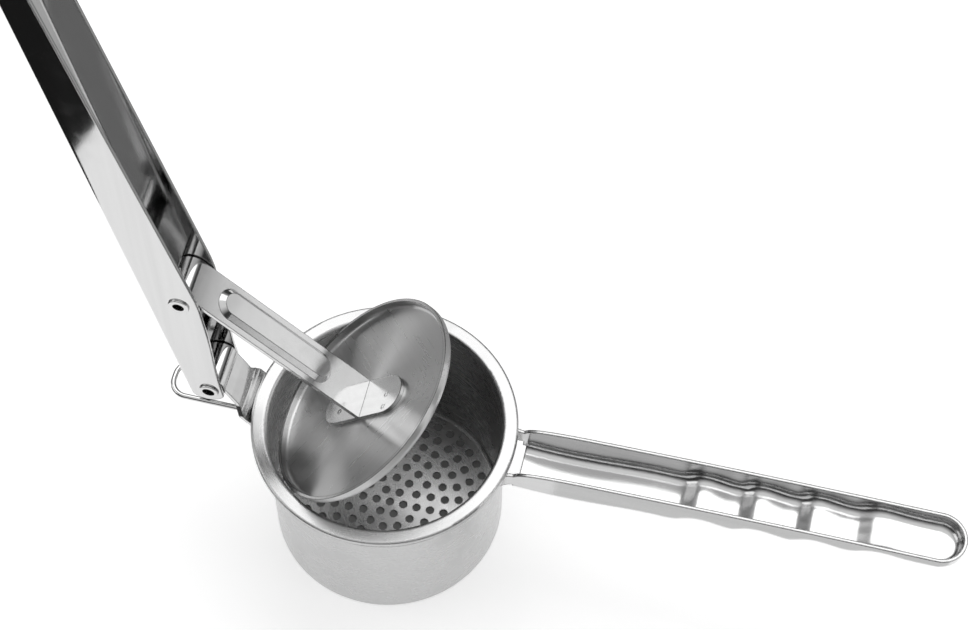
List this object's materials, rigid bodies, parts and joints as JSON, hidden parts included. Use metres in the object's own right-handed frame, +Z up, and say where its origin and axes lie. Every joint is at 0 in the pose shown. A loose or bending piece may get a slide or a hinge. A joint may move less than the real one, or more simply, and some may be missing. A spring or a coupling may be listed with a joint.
{
  "type": "potato ricer",
  "caption": "Long-handled potato ricer: perforated round hopper, fixed channel handle, hinged press handle with a plunger arm and disc, wire pot rest.",
  "frame": {"origin": "centre of the hopper's flat underside", "axes": "+Z up out of the hopper's mouth, +X along the fixed lower handle towards its tip, Y along both hinge pins"},
  "size_m": [0.3193, 0.096, 0.3482],
  "materials": {
    "hopper": "brushed stainless steel",
    "lower_handle": "polished stainless steel",
    "hinge_tongue": "polished stainless steel",
    "pot_rest": "polished stainless steel",
    "main_hinge_pin": "polished stainless steel",
    "press_handle": "polished stainless steel",
    "arm_pin": "polished stainless steel",
    "plunger_arm": "polished stainless steel",
    "plunger_foot": "polished stainless steel",
    "plunger_disc": "brushed stainless steel"
  },
  "bodies": {
    "frame": {"hopper": "hopper", "lower_handle": "lower_handle", "hinge_tongue": "hinge_tongue", "pot_rest": "pot_rest", "main_hinge_pin": "main_hinge_pin"},
    "press": {"press_handle": "press_handle", "arm_pin": "arm_pin"},
    "plunger": {"plunger_arm": "plunger_arm", "plunger_foot": "plunger_foot", "plunger_disc": "plunger_disc"}
  },
  "joints": [
    {"name": "press_hinge", "type": "hinge", "parent": "frame", "child": "press", "pos_m": [-0.0614, 0, 0.0804], "axis": [0, 1, 0], "range_deg": [0, 65]},
    {"name": "plunger_swing", "type": "hinge", "parent": "press", "child": "plunger", "pos_m": [-0.066, 0, 0.13762], "axis": [0, 1, 0], "range_deg": [-26.6, 0]}
  ],
  "couplings": [
    {"joint": "plunger_swing", "follows": "press_hinge", "ratio": -0.4075}
  ]
}
